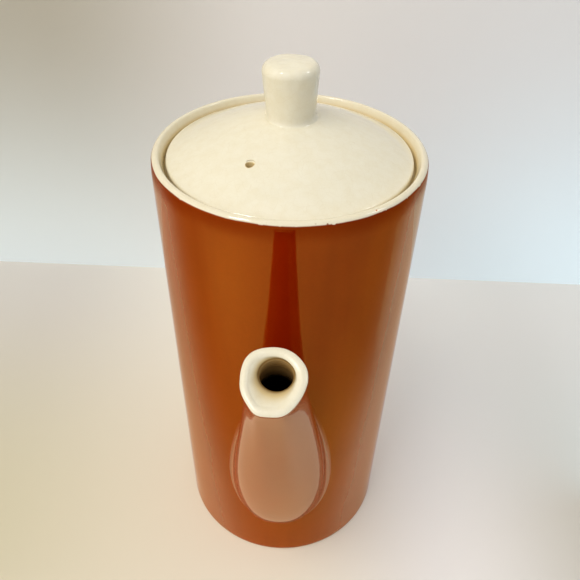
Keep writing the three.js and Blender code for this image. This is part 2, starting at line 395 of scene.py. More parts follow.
def ridge_share(below):
    """0 to 1, how far the soft ridges left by the mould stand out this far down the bore."""
    fade = min(1, below / MM) * max(0, 1 - below / RIDGES_END)
    return (1 - math.cos(2 * math.pi * below / RIDGE_PITCH)) / 2 * fade


def bore_ring(below):
    """A ring of the bore, this far below its edge."""
    ridge = RIDGE_DEPTH * ridge_share(below)
    ahead = (BORE_HALF_LENGTH - ridge) * TURN_COS - BORE_BACK
    side = (BORE_HALF_W - ridge) * TURN_SIN + BORE_ASIDE
    return mouth_place(ahead, side, -BORE_DEPTH - BORE_SLANT * TURN_COS - below)


def rails(start, end, shares):
    """Rings between a ring on the wall and a ring at the mouth, along Bezier rails."""
    under = (1 + TURN_COS) / 2

    def between(key):
        return CROTCH[key] + (UNDERSIDE[key] - CROTCH[key]) * under

    climb = np.radians(between("climb") + FLANK["climb"] * TURN_SIN**2)
    reach = between("reach") + FLANK["reach"] * TURN_SIN**2
    lean, neck = np.radians(between("lean")), between("neck")
    leave = start + np.stack(
        [(SEAM_PINCH - 1) * start[:, 0], -reach * np.cos(climb), reach * np.sin(climb)], axis=1)
    arrive = end + np.stack([0 * neck, neck * np.sin(lean), -neck * np.cos(lean)], axis=1)
    return [
        (1 - v) ** 3 * start + 3 * v * (1 - v) ** 2 * leave + 3 * v**2 * (1 - v) * arrive + v**3 * end
        for v in shares
    ]


def fillet_rings(seam, above):
    """Two rings tucked into the wall, then a sweep from flush with it up to the spout."""
    rings = [seam_ring(-FILLET - out, POT_R - deep) for out, deep in FILLET_TUCK]
    flush = seam_ring(-FILLET, FLUSH_R)
    corner = (1 - FILLET_SOFTEN) * seam + FILLET_SOFTEN * (flush + above) / 2
    for s in np.linspace(0, 1, 15)[:-1]:
        rings.append((1 - s) ** 2 * flush + 2 * s * (1 - s) * corner + s**2 * above)
    return rings


# Each of these gives rings with the share of rust glaze and of coffee stain and painted shade that they
# carry.

def outer_rings():
    seam = seam_ring(0, POT_R)
    outer = rails(seam, mouth_ring(0, 0), np.linspace(OUTER_START, 1, 84))
    return [(ring, 1, 0) for ring in fillet_rings(seam, outer[0]) + outer]


def lip_rings():
    """Across the lip, which rises steeply outside and falls gently inside."""
    rings = []
    for across in LIP_SHARES:
        outside = across < 0.5
        crest = math.sin(math.pi * across) ** LIP_FULLNESS if outside else 1 - (2 * across - 1) ** 2
        rings.append((mouth_ring(LIP_W * across, LIP_RISE * crest), 0, LIP_STAIN))
    return rings


def dish_rings():
    """From the lip down to the bore's edge, held up a little above a straight slope."""
    lip_inside, bore_edge = mouth_ring(LIP_W, 0), bore_ring(0)
    rings = []
    for s in np.linspace(0, 1, 17)[1:]:
        held_up = DISH_FULLNESS * (s - s**2.5) * (BORE_DEPTH + BORE_SLANT * TURN_COS)
        dish = (1 - s) * lip_inside + s * bore_edge + held_up[:, None] * MOUTH_NORMAL
        stain_and_shade = LIP_STAIN + (DISH_STAIN - LIP_STAIN) * s + (BORE_STAIN_AND_SHADE - DISH_STAIN) * s**6
        rings.append((dish, 0, stain_and_shade))
    return rings


def bore_rings():
    rings = []
    for below in np.linspace(BORE_FIRST, BORE_LENGTH, 70):
        # coffee stain at the edge, then painted shade deepening to black down the bore
        stain_and_shade = BORE_STAIN_AND_SHADE + (1 - BORE_STAIN_AND_SHADE) * (below / BORE_LENGTH) ** 3
        rings.append((bore_ring(below), 0, stain_and_shade - RIDGE_LESS_STAIN_AND_SHADE * ridge_share(below)))
    return rings


def inner_rings():
    start, end = seam_ring(SPOUT_WALL, INNER_END_R), bore_ring(BORE_LENGTH)
    # painted shade: the inside of the spout is black
    return [(ring, 0, 1) for ring in rails(start, end, np.linspace(1, 0, 46))[1:]]


def make_spout():
    rings = outer_rings() + lip_rings() + dish_rings() + bore_rings() + inner_rings()
    shapes, rust, stain_and_shade = zip(*rings)
    spout = skin("spout_shell", shapes, loop=True)
    for name, shares in (("rust", rust), ("stain_and_shade", stain_and_shade)):
        layer = spout.data.attributes.new(name, "FLOAT", "POINT")
        layer.data.foreach_set("value", np.repeat(np.array(shares, np.float32), len(SPOUT_TURNS)))
    return spout


# ---------------------------------------------------------------- handle

HANDLE_TOP_Z = 177 * MM
HANDLE_LOW_Z = 68 * MM
HANDLE_BULGE_Z = 142 * MM
HANDLE_LEAVE = (30 * MM, 7 * MM)    # out and up, where it leaves the wall at the top
HANDLE_SHOULDER = 38 * MM
HANDLE_BELLY = 32 * MM
HANDLE_RETURN = (22 * MM, 16 * MM)  # out and up, where it comes back to the wall
HANDLE_W = (19 * MM, 15 * MM)       # at the top and at the bottom
HANDLE_THICK = 11 * MM
HANDLE_FULLNESS = 0.88
HANDLE_FLARE = 0.55                 # how much thicker it gets at the wall
HANDLE_SIDE_FLARE = 0.55            # and the share of that by which it widens
HANDLE_FLARE_LENGTH = 2.2 * MM
HANDLE_TURNS = 2 * math.pi * np.arange(72) / 72


def handle_path():
    """Places (y, z) down the middle of the bar."""
    outermost = HANDLE_OUT - HANDLE_THICK / 2
    buried = POT_R - WALL
    upper = [
        (buried, HANDLE_TOP_Z), (buried + HANDLE_LEAVE[0], HANDLE_TOP_Z + HANDLE_LEAVE[1]),
        (outermost, HANDLE_BULGE_Z + HANDLE_SHOULDER), (outermost, HANDLE_BULGE_Z),
    ]
    lower = [
        (outermost, HANDLE_BULGE_Z), (outermost, HANDLE_BULGE_Z - HANDLE_BELLY),
        (buried + HANDLE_RETURN[0], HANDLE_LOW_Z + HANDLE_RETURN[1]), (buried, HANDLE_LOW_Z),
    ]
    return np.array(bezier(upper, 90) + bezier(lower, 90)[1:])


def handle_rings():
    path = handle_path()
    heading = np.gradient(path, axis=0)
    heading /= np.linalg.norm(heading, axis=1)[:, None]
    along = np.concatenate([[0], np.cumsum(np.linalg.norm(np.diff(path, axis=0), axis=1))])
    along /= along[-1]
    c = squarish(np.cos(HANDLE_TURNS), HANDLE_FULLNESS)
    s = squarish(np.sin(HANDLE_TURNS), HANDLE_FULLNESS)
    rings = []
    for (y, z), (hy, hz), share in zip(path, heading, along):
        out_of_wall = max(y - POT_R, -1 * MM)
        flare = 1 + HANDLE_FLARE * math.exp(-out_of_wall / HANDLE_FLARE_LENGTH)
        width = HANDLE_W[0] + (HANDLE_W[1] - HANDLE_W[0]) * share
        half_w = width / 2 * (1 + (flare - 1) * HANDLE_SIDE_FLARE)
        half_t = HANDLE_THICK / 2 * flare
        rings.append(np.stack([half_w * s, y - hz * half_t * c, z + hy * half_t * c], axis=1))
    return rings


def make_handle():
    rings = handle_rings()
    ends = [[tuple(rings[0].mean(0))], [tuple(rings[-1].mean(0))]]
    return skin("handle_bar", [ends[0], *rings, ends[1]])


# ---------------------------------------------------------------- lid and knob

LID_THICK = 4 * MM
LID_EDGE_TOP = POT_H - 2 * MM
LID_EDGE_ROUND = 1.3 * MM
FLANGE_R = 42.5 * MM
FLANGE_W = 3.5 * MM
FLANGE_ROUND = 1.2 * MM
SEAT_ROUND = 0.8 * MM
HOLLOW_ROUND = 3 * MM
CROWN_MARGIN = 0.2 * MM             # the dome's flat crown is this much wider than the knob
DOME_BEND = (0.62, 0.64)            # shares of the lid's radius and of the dome's rise
LID_STEP = 1.5 * MM
LID_DENT = 0.16 * MM
LID_DENT_SIZE = 22 * MM
VENT_AT = Vector((-12.9 * MM, -25.6 * MM, 216.9 * MM))
VENT_R = 1.5 * MM
VENT_FLARE = 0.45 * MM
VENT_HALF_LENGTH = 2.1 * MM
VENT_DRILL_DROP = 2 * MM
KNOB_LEAN = math.radians(-1.2)
KNOB_SINK = 0.4 * MM
KNOB_WAIST = 1.3 * MM               # how much slimmer it is at the waist than at the top
KNOB_SPREAD = 1.8 * MM              # how much wider than the waist its root is
KNOB_FOOT = [(0, 0.2 * MM), (0.1 * MM, 2.6 * MM)]       # pulls out from the waist and up
KNOB_ROUND = 3.2 * MM
KNOB_CROWN = 0.5 * MM
KNOB_CROWN_PULL = 0.6
KNOB_STEP = 1 * MM
KNOB_DENT = 0.3 * MM
KNOB_DENT_SIZE = 7 * MM


def lid_outline():
    """From the middle of the hollow underside, round the flange and edge, and over the dome."""
    seat = LEDGE_Z + SEAT_GAP
    flange_in = FLANGE_R - FLANGE_W
    crown = KNOB_R + CROWN_MARGIN
    edge = LID_EDGE_ROUND
    outline = [(0, LID_TOP - LID_THICK), (crown, LID_TOP - LID_THICK)]
    outline += arc((flange_in - HOLLOW_ROUND, seat - 1 * MM), HOLLOW_ROUND, 60, 0, 8)
    outline += arc((flange_in + FLANGE_ROUND, LID_FOOT + FLANGE_ROUND), FLANGE_ROUND, 180, 270, 8)
    outline += arc((FLANGE_R - FLANGE_ROUND, LID_FOOT + FLANGE_ROUND), FLANGE_ROUND, -90, 0, 8)
    outline += [(FLANGE_R, seat)]
    outline += arc((LID_R - SEAT_ROUND, seat + SEAT_ROUND), SEAT_ROUND, -90, 0, 7)
    outline += arc((LID_R - edge, LID_EDGE_TOP - edge), edge, 0, 76, 10)
    rise = LID_TOP - LID_EDGE_TOP
    bend = (LID_R * DOME_BEND[0], LID_EDGE_TOP + rise * DOME_BEND[1])
    outline += bezier([outline[-1], bend, (crown, LID_TOP)], 40)
    outline += [(0, LID_TOP)]
    return dense(outline, LID_STEP)


def make_lid():
    lid = turned("lid_dome", lid_outline(), ROUND)

    def dome(p):
        """The lid stays true below its edge, where it fits its ledge."""
        return ramp(p.z, LID_EDGE_TOP - 1 * MM, LID_EDGE_TOP + 1 * MM)

    uneven(lid, LID_DENT, LID_DENT_SIZE, keep=dome)
    drill = turned("drill", hourglass(VENT_R, VENT_HALF_LENGTH, VENT_FLARE), 40)
    drill.data.transform(Matrix.Translation(VENT_AT + Vector((0, 0, -VENT_DRILL_DROP))))
    return drilled(lid, [drill])


def knob_outline():
    """From the middle of its root, up the slightly flaring side and over the soft top."""
    root = LID_TOP - KNOB_SINK
    waist = KNOB_R - KNOB_WAIST
    foot = (waist + KNOB_SPREAD, root)
    shoulder = KNOB_TOP - KNOB_CROWN - KNOB_ROUND
    outline = [(0, root), foot]
    outline += bezier([foot, *((waist + out, root + up) for out, up in KNOB_FOOT)], 10)
    outline += [(KNOB_R, shoulder)]
    outline += arc((KNOB_R - KNOB_ROUND, shoulder), KNOB_ROUND, 0, 82, 16)
    top = outline[-1]
    outline += bezier([top, (top[0] * KNOB_CROWN_PULL, KNOB_TOP), (0, KNOB_TOP)], 14)
    return dense(outline, KNOB_STEP)


def make_knob():
    knob = turned("knob", knob_outline(), 144)
    lean = Matrix.Rotation(KNOB_LEAN, 4, "Y")
    pivot = Matrix.Translation((0, 0, LID_TOP))
    knob.data.transform(pivot @ lean @ pivot.inverted())
    uneven(knob, KNOB_DENT, KNOB_DENT_SIZE)
    return knob


# ---------------------------------------------------------------- shader helpers

MIX_FIRST, MIX_SECOND, MIX_RESULT = 6, 7, 2     # the colour sockets of a Mix node


class Shader:
    """The node tree of a material or a world, filled node by node."""

    def __init__(self, owner):
        owner.use_nodes = True
        self.owner = owner
        self.tree = owner.node_tree
        self.tree.nodes.clear()

    def node(self, kind, inputs=None, **settings):
        """A new node, each of whose inputs is linked to a socket or set to a value."""
        made = self.tree.nodes.new(kind)
        for key, value in settings.items():
            setattr(made, key, value)
        for key, value in (inputs or {}).items():
            if isinstance(value, bpy.types.NodeSocket):
                self.tree.links.new(value, made.inputs[key])
            else:
                made.inputs[key].default_value = value
        return made

    def math(self, operation, *values):
        return self.node("ShaderNodeMath", dict(enumerate(values)), operation=operation).outputs[0]

    def plus(self, first, second):
        return self.math("ADD", first, second)

    def minus(self, first, second):
        return self.math("SUBTRACT", first, second)

    def times(self, first, second):
        return self.math("MULTIPLY", first, second)

    def place(self, stretch=(1, 1, 1)):
        """Position on the object, stretched along its axes."""
        here = self.node("ShaderNodeTexCoord").outputs["Object"]
        if stretch == (1, 1, 1):
            return here
        return self.node("ShaderNodeMapping", {"Vector": here, "Scale": stretch}).outputs[0]

    def xyz(self, place=None):
        """The X, Y and Z of this place, or of the position on the object."""
        if place is None:
            place = self.place()
        return self.node("ShaderNodeSeparateXYZ", {"Vector": place}).outputs

    def radius(self, x=0.0, y=0.0):
        """Distance from the upright axis through this place."""
        here = self.xyz()
        dx = self.minus(here["X"], x)
        dy = self.minus(here["Y"], y)
        return self.math("SQRT", self.plus(self.times(dx, dx), self.times(dy, dy)))

    def noise(self, size, detail=2.0, stretch=(1, 1, 1)):
        """A soft noise from 0 to 1 whose lumps are about this size in metres."""
        return self.node("ShaderNodeTexNoise", {
            "Vector": self.place(stretch), "Scale": 1 / size, "Detail": detail, "Roughness": 0.5,
        }).outputs["Fac"]

    def sway(self, size, reach, detail=1.5):
        """A soft noise of this reach either side of 0."""
        return self.times(self.minus(self.noise(size, detail), 0.5), 2 * reach)

    def step(self, value, low, high, bottom=0.0, top=1.0):
        """Goes smoothly from bottom to top while value goes from low to high."""
        return self.node("ShaderNodeMapRange", {
            "Value": value, "From Min": low, "From Max": high, "To Min": bottom, "To Max": top,
        }, interpolation_type="SMOOTHSTEP").outputs["Result"]

    def mix(self, share, first, second):
        """A colour between two, each of which is a socket or three numbers."""
        node = self.node("ShaderNodeMix", {"Factor": share}, data_type="RGBA")
        for number, value in ((MIX_FIRST, first), (MIX_SECOND, second)):
            if isinstance(value, bpy.types.NodeSocket):
                self.tree.links.new(value, node.inputs[number])
            else:
                node.inputs[number].default_value = (*value, 1)
        return node.outputs[MIX_RESULT]

    def blend(self, share, first, second):
        """A surface between two surfaces."""
        return self.node("ShaderNodeMixShader", {0: share, 1: first, 2: second}).outputs[0]

    def bump(self, height, depth):
        """Bump whose full height is this depth in metres."""
        return self.node("ShaderNodeBump", {
            "Height": height, "Distance": depth, "Strength": 1.0,
        }).outputs[0]

    def glossy(self, colour, roughness, ior, normal):
        return self.node("ShaderNodeBsdfPrincipled", {
            "Base Color": colour, "Roughness": roughness, "IOR": ior, "Normal": normal,
        }).outputs[0]

    def specks(self, spacing, radius, share):
        """Small round specks, in about this share of cells of this spacing."""
        cells = self.node("ShaderNodeTexVoronoi", {
            "Vector": self.place(), "Scale": 1 / spacing,
        }).outputs
        dot = self.step(cells["Distance"], 0.6 * radius / spacing, radius / spacing, 1.0, 0.0)
        chance = self.node("ShaderNodeSeparateColor", {"Color": cells["Color"]}).outputs[0]
        return self.times(dot, self.math("LESS_THAN", chance, share))

    def attribute(self, name):
        return self.node("ShaderNodeAttribute", attribute_name=name).outputs["Fac"]

    def finish(self, surface):
        self.node("ShaderNodeOutputMaterial", {"Surface": surface})
        return self.owner


def new_shader(name):
    """The empty shader of a new material."""
    return Shader(bpy.data.materials.new(name))


# ---------------------------------------------------------------- rust glaze

RUST = (0.28, 0.0125, 0.0004)
RUST_THIN = (0.33, 0.022, 0.0007)
RUST_DEEP = (0.15, 0.0045, 0.0002)
RUST_SPECK = (0.03, 0.008, 0.002)
RUST_SPECKS = {"spacing": 9 * MM, "radius": 0.35 * MM, "share": 0.18}
CLOUD_SIZE = 38 * MM
CLOUD_SHARE = 0.6
RUN_SIZE = 9 * MM
RUN_STRETCH = (1, 1, 0.12)
RUN_SHARE = 0.4
THIN_DEPTH = 0.35
FULL_DEPTH = 0.68
RUST_GRAIN_SIZE = 1.2 * MM
RUST_GRAIN_SHARE = 0.22
RIPPLE_SIZE = 7 * MM
RIPPLE_DEPTH = 0.03 * MM
RIPPLE_GRAIN = 0.03
GLAZE_IOR = 2.8
GLAZE_ROUGHNESS = 0.05
SHEEN_FACING = (0.62, 0.31, 0.045)
SHEEN_TURNING = (1.0, 0.77, 0.47)
SHEEN_EDGE = (1.0, 0.97, 1.0)
SHEEN_THICK_AND_SHADED = (0.40, 0.09, 0.002)
MIRROR_FACING = 0.245               # it counts as facing the viewer up to this mirrored share
MIRROR_TURNING = 0.32
MIRROR_EDGE = 0.9
# painted shade: how much the thick and shaded share darkens the rust and dulls its sheen
THICK_AND_SHADE_DARKENS = 0.5
THICK_AND_SHADE_DULLS = 0.7


def rust_colour(shader, fine):
    """Thin and full depths in clouds and runs, with fine grain and a few dark specks."""
    clouds = shader.noise(CLOUD_SIZE, 3.0)
    runs = shader.noise(RUN_SIZE, 2.0, RUN_STRETCH)
    depth = shader.plus(shader.times(clouds, CLOUD_SHARE), shader.times(runs, RUN_SHARE))
    colour = shader.mix(shader.step(depth, THIN_DEPTH, FULL_DEPTH), RUST_THIN, RUST)
    colour = shader.mix(shader.times(fine, RUST_GRAIN_SHARE), colour, RUST_DEEP)
    return shader.mix(shader.specks(**RUST_SPECKS), colour, RUST_SPECK)


def rust_sheen(shader, mirror):
    """The tint of its reflections, which pale from orange to white as it turns away."""
    turning = shader.step(mirror, MIRROR_FACING, MIRROR_TURNING)
    sheen = shader.mix(turning, SHEEN_FACING, SHEEN_TURNING)
    return shader.mix(shader.step(mirror, MIRROR_TURNING, MIRROR_EDGE), sheen, SHEEN_EDGE)


def rust_glaze(shader, thick_and_shaded=None):
    """A deep rust under a thick gloss, darker, redder and duller by the share given: glaze that ran
    thick, and painted shade under the rim.
    """
    fine = shader.noise(RUST_GRAIN_SIZE, 2.0)
    ripple = shader.plus(shader.noise(RIPPLE_SIZE, 1.0), shader.times(fine, RIPPLE_GRAIN))
    normal = shader.bump(ripple, RIPPLE_DEPTH)
    mirror = shader.node("ShaderNodeFresnel", {"IOR": GLAZE_IOR, "Normal": normal}).outputs[0]
    colour = rust_colour(shader, fine)
    sheen = rust_sheen(shader, mirror)
    if thick_and_shaded is not None:
        colour = shader.mix(shader.times(thick_and_shaded, THICK_AND_SHADE_DARKENS), colour, RUST_DEEP)
        sheen = shader.mix(shader.times(thick_and_shaded, THICK_AND_SHADE_DULLS), sheen, SHEEN_THICK_AND_SHADED)
    under = shader.node("ShaderNodeBsdfDiffuse", {"Color": colour, "Normal": normal}).outputs[0]
    over = shader.node("ShaderNodeBsdfGlossy", {
        "Color": sheen, "Roughness": GLAZE_ROUGHNESS, "Normal": normal,
    }).outputs[0]
    return shader.blend(mirror, under, over)


# ---------------------------------------------------------------- cream glaze and clay

CREAM = (0.87, 0.82, 0.66)
CREAM_DEEP = (0.80, 0.72, 0.51)
CREAM_SPECK = (0.20, 0.15, 0.09)
CREAM_SPECKS = {"spacing": 11 * MM, "radius": 0.3 * MM, "share": 0.25}
CREAM_IOR = 1.55
CREAM_ROUGHNESS = 0.10
CREAM_LUMPS = 0.05 * MM
LUMP_SIZE = 4 * MM
LUMP_MOTTLE = 0.25
MOTTLE_SIZE = 3.5 * MM
MOTTLE_STEP = (0.3, 0.75)
MOTTLE_SHARE = 0.32
CREAM_GRAIN_SIZE = 0.8 * MM
CREAM_GRAIN_SHARE = 0.26
CRAZE = (0.62, 0.50, 0.30)
CRAZE_SIZE = 2.6 * MM
CRAZE_WIDTH = 0.03
CRAZE_SHARE = 0.14
OCHRE = (0.74, 0.58, 0.30)
COFFEE = (0.34, 0.20, 0.065)
# painted shade: the black deep inside the spout
BLACK_SHADE = (0.015, 0.008, 0.002)
STAIN_PATCH = 2.5 * MM
STAIN_UNEVEN = (0.94, 1.06)
STAIN_AND_SHADE_STEPS = [((0.0, 0.2), OCHRE), ((0.15, 0.5), COFFEE), ((0.5, 1.0), BLACK_SHADE)]
CLAY = (0.72, 0.50, 0.34)
CLAY_DARK = (0.55, 0.36, 0.23)
CLAY_GRAIN_SIZE = 0.5 * MM
CLAY_GRAIN_DEPTH = 0.08 * MM
CLAY_ROUGHNESS = 0.8
CLAY_IOR = 1.45


def cream_colour(shader, mottle):
    """Cream with mottle, grain, the fine net of crazing and a few brown specks."""
    grain = shader.noise(CREAM_GRAIN_SIZE, 2.0)
    tone = shader.plus(shader.times(mottle, MOTTLE_SHARE), shader.times(grain, CREAM_GRAIN_SHARE))
    colour = shader.mix(tone, CREAM, CREAM_DEEP)
    cracks = shader.node("ShaderNodeTexVoronoi", {
        "Vector": shader.place(), "Scale": 1 / CRAZE_SIZE,
    }, feature="DISTANCE_TO_EDGE").outputs["Distance"]
    colour = shader.mix(shader.step(cracks, 0.0, CRAZE_WIDTH, CRAZE_SHARE, 0.0), colour, CRAZE)
    return shader.mix(shader.specks(**CREAM_SPECKS), colour, CREAM_SPECK)


def stained(shader, colour, stain_and_shade):
    """The colour under this much coffee stain, from ochre through brown, and painted shade that goes
    black at 1.
    """
    patchy = shader.step(shader.noise(STAIN_PATCH), 0.2, 0.8, *STAIN_UNEVEN)
    stain_and_shade = shader.times(stain_and_shade, patchy)
    for (low, high), brown in STAIN_AND_SHADE_STEPS:
        colour = shader.mix(shader.step(stain_and_shade, low, high), colour, brown)
    return colour


def cream_glaze(shader, stain_and_shade=None, lumps=CREAM_LUMPS, roughness=CREAM_ROUGHNESS):
    """A warm glossy cream whose surface ripples by the depth of its lumps."""
    mottle = shader.step(shader.noise(MOTTLE_SIZE, 3.0), *MOTTLE_STEP)
    colour = cream_colour(shader, mottle)
    if stain_and_shade is not None:
        colour = stained(shader, colour, stain_and_shade)
    ripple = shader.plus(shader.noise(LUMP_SIZE, 1.0), shader.times(mottle, LUMP_MOTTLE))
    return shader.glossy(colour, roughness, CREAM_IOR, shader.bump(ripple, lumps))


def bare_clay(shader):
    grain = shader.noise(CLAY_GRAIN_SIZE, 4.0)
    colour = shader.mix(grain, CLAY, CLAY_DARK)
    return shader.glossy(colour, CLAY_ROUGHNESS, CLAY_IOR, shader.bump(grain, CLAY_GRAIN_DEPTH))


# ---------------------------------------------------------------- the body's material

CREAM_EDGE = POT_H - 1.0 * MM       # where the cream of the rim meets the rust
EDGE_SOFT = 0.18 * MM
EDGE_SWAY = [(16 * MM, 0.28 * MM, 1.5), (2.4 * MM, 0.05 * MM, 3.0)]
OUTSIDE = (POT_R - 2.2 * MM, POT_R - 1.6 * MM)          # radii over which the outside begins
POOL_AND_SHADE = (CREAM_EDGE - 8 * MM, CREAM_EDGE - 0.9 * MM)     # heights over which the rust thickens and is painted darker as shade under the rim
POOL_AND_SHADE_SHARE = 0.95
CHIP_SIZE = 2.8 * MM
CHIP_DEPTH = 0.4 * MM
CHIP_STEP = (0.58, 0.68)
PITS = {"spacing": 2.2 * MM, "radius": 0.5 * MM, "share": 0.6}
WORN_SIDE = math.radians(35)        # from the spout's side towards +X
WORN_FADE = (0.80 * POT_R, 0.97 * POT_R)
WORN_LEAST = 0.3
RIM_STAIN = 0.05
# painted shade with coffee stain, heavier down in the gallery next to the lid
GALLERY_STAIN_AND_SHADE = 0.12
STAIN_AND_SHADE_FADE = (LID_R, POT_R - 2.6 * MM)
CREVICE = (POT_H - 3.2 * MM, POT_H - 1.8 * MM)
CREVICE_STAIN_AND_SHADE = 1.8                 # times as dark below these heights as above, with dirt and painted shade
WIPED = (0.35 * MM, 0.6 * MM)       # heights over which the wiped foot ends
WIPE_SWAY = (5 * MM, 0.15 * MM)


def wear(shader):
    """How hard the rim was knocked, up to 1: hardest in front, to the right of the spout."""
    here = shader.xyz()
    worn_way = shader.minus(shader.times(here["X"], math.sin(WORN_SIDE)),
                            shader.times(here["Y"], math.cos(WORN_SIDE)))
    return shader.step(worn_way, *WORN_FADE, WORN_LEAST, 1.0)


def glaze_edge(shader, height, worn):
    """Height, shifted so that the edge of the cream sways and drops where the rim is chipped."""
    edge = height
    for size, reach, detail in EDGE_SWAY:
        edge = shader.plus(edge, shader.sway(size, reach, detail))
    chips = shader.step(shader.noise(CHIP_SIZE, 2.0), *CHIP_STEP, 0.0, CHIP_DEPTH)
    return shader.plus(edge, shader.times(worn, chips))


def rim_stain_and_shade(shader, height, radius):
    """Coffee that dried on the rim and, with painted shade, darker in the gallery and its crevice, but
    not below the ledge.
    """
    stain_and_shade = shader.step(radius, *STAIN_AND_SHADE_FADE, GALLERY_STAIN_AND_SHADE, RIM_STAIN)
    grimy_and_shaded = shader.times(shader.step(height, LEDGE_Z - 2 * MM, LEDGE_Z),
                         shader.step(height, *CREVICE, CREVICE_STAIN_AND_SHADE, 1.0))
    return shader.times(stain_and_shade, grimy_and_shaded)


def body_material():
    """Rust outside, cream over the rim and inside, bare clay where the foot was wiped."""
    shader = new_shader("body_glaze")
    height, radius, worn = shader.xyz()["Z"], shader.radius(), wear(shader)
    edge = glaze_edge(shader, height, worn)
    outside = shader.step(radius, *OUTSIDE)
    cream = cream_glaze(shader, rim_stain_and_shade(shader, height, radius))
    # painted shade under the rim darkens and dulls the rust, where the glaze also ran thick
    rust = rust_glaze(shader, shader.step(edge, *POOL_AND_SHADE, 0.0, POOL_AND_SHADE_SHARE))
    pits = shader.times(shader.step(worn, 0.6, 1.0), shader.specks(**PITS))
    cream = shader.blend(shader.times(pits, outside), cream, rust)
    below_rim = shader.step(edge, CREAM_EDGE - EDGE_SOFT, CREAM_EDGE + EDGE_SOFT, 1.0, 0.0)
    glazed = shader.blend(shader.times(below_rim, outside), cream, rust)
    wiped = shader.step(shader.plus(height, shader.sway(*WIPE_SWAY)), *WIPED, 1.0, 0.0)
    return shader.finish(shader.blend(wiped, glazed, bare_clay(shader)))


# ---------------------------------------------------------------- the other materials

SPOUT_ROUGHNESS = 0.26
LIP_EDGE_SWAY = (3 * MM, 0.12, 2.0)
LIP_EDGE = (0.35, 0.5)              # shares of rust over which the cream gives way to it
KNOB_LUMPS = 0.16 * MM
# painted shade inside the steam hole
VENT_SHADE = 0.22
VENT_SHADE_FADE = (VENT_R - 0.1 * MM, VENT_R + 0.4 * MM)


def spout_material():
    """Rust outside, and cream over the lip that coffee has stained down the bore, with painted shade
    that turns black deep inside.
    """
    shader = new_shader("spout_glaze")
    rust, stain_and_shade = shader.attribute("rust"), shader.attribute("stain_and_shade")
    rust_share = shader.step(shader.plus(rust, shader.sway(*LIP_EDGE_SWAY)), *LIP_EDGE)
    cream = cream_glaze(shader, stain_and_shade, roughness=SPOUT_ROUGHNESS)
    return shader.finish(shader.blend(rust_share, cream, rust_glaze(shader)))


def handle_material():
    shader = new_shader("handle_glaze")
    return shader.finish(rust_glaze(shader))


def lid_material():
    """Cream, with painted shade inside the steam hole."""
    shader = new_shader("lid_glaze")
    from_vent = shader.radius(VENT_AT.x, VENT_AT.y)
    return shader.finish(cream_glaze(shader, shader.step(from_vent, *VENT_SHADE_FADE, VENT_SHADE, 0.0)))


def knob_material():
    shader = new_shader("knob_glaze")
    return shader.finish(cream_glaze(shader, lumps=KNOB_LUMPS))


# ---------------------------------------------------------------- dressing the pieces

def dress(piece, node, body, material):
    piece.data.materials.clear()
    piece.data.materials.append(material)
    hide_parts(node)
    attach(piece, body)


dress(make_body(), "pot_body", "pot", body_material())
dress(make_spout(), "pot_spout", "pot", spout_material())
dress(make_handle(), "pot_handle", "pot", handle_material())
dress(make_lid(), "lid_plate", "lid", lid_material())
dress(make_knob(), "lid_knob", "lid", knob_material())

# ---------------------------------------------------------------- floor and wall

REACH = 2                           # how far floor and wall go
FLOOR_Z = -0.2 * MM
WALL_Y = 0.185
STAGE_IOR = 1.3
STAGE_GRAIN_SIZE = 2 * MM
STAGE_GRAIN_DEPTH = 0.02 * MM
FLOOR_COLUMNS = [-0.40, -0.20, 0, 0.09, 0.19]
FLOOR_ROWS = [-0.40, -0.17, -0.06, 0.16]
# painted light, shade and reflection in the floor's colours: lighter and darker patches stand for pools
# of light, the pot's shade, and what the glaze reflects from out of view
FLOOR_PAINTED_LIGHT = [
    [(.66, .63, .56), (.68, .64, .56), (.62, .59, .54), (.58, .56, .54), (.56, .55, .55)],
    [(.70, .66, .56), (.98, .90, .68), (.72, .65, .54), (.54, .51, .50), (.50, .49, .50)],
    [(.60, .56, .48), (.66, .61, .43), (.92, .85, .70), (.92, .89, .86), (.60, .57, .50)],
    [(.64, .60, .54), (.67, .63, .58), (.99, .94, .83), (.86, .82, .77), (.76, .71, .66)],
]
FLOOR_ROUGHNESS = 0.6
WALL_COLUMNS = [-0.17, 0, 0.17]
WALL_ROWS = [0, 0.22]
# painted light and shade in the backdrop's colours: darker and warmer high on the left, bluish and
# light low down
WALL_PAINTED_LIGHT = [
    [(.88, .97, 1.0), (.92, .97, 1.0), (.90, .98, 1.0)],
    [(.52, .49, .41), (.90, .88, .85), (.86, .85, .84)],
]
WALL_ROUGHNESS = 0.8


def one_sided(shader, surface):
    """Seen from behind, the surface isn't there, so it never hides the object."""
    behind = shader.node("ShaderNodeNewGeometry").outputs["Backfacing"]
    clear = shader.node("ShaderNodeBsdfTransparent").outputs[0]
    return shader.blend(behind, surface, clear)


def drift(shader, value, places, colours):
    """A colour that drifts from one to the next as the value passes their places."""
    colour = colours[0]
    for start, end, following in zip(places, places[1:], colours[1:]):
        colour = shader.mix(shader.step(value, start, end), colour, following)
    return colour


def painted(name, upright, columns, rows, paint, roughness):
    """A pale matt surface whose paint drifts between colours set out in columns and rows, with painted
    light and shade in them.
    """
    shader = new_shader(name)
    here = shader.xyz()
    across, along = here["X"], here["Z" if upright else "Y"]
    colour = drift(shader, along, rows, [drift(shader, across, columns, row) for row in paint])
    grain = shader.bump(shader.noise(STAGE_GRAIN_SIZE, 3.0), STAGE_GRAIN_DEPTH)
    return shader.finish(one_sided(shader, shader.glossy(colour, roughness, STAGE_IOR, grain)))


def stage_plane(name, near, far, material):
    """A plane between a near edge and a far edge, each given by its y and z."""
    corners = [(-REACH, *near), (REACH, *near), (REACH, *far), (-REACH, *far)]
    plane = mesh_object(name, corners, [(0, 1, 2, 3)])
    plane.data.materials.append(material)


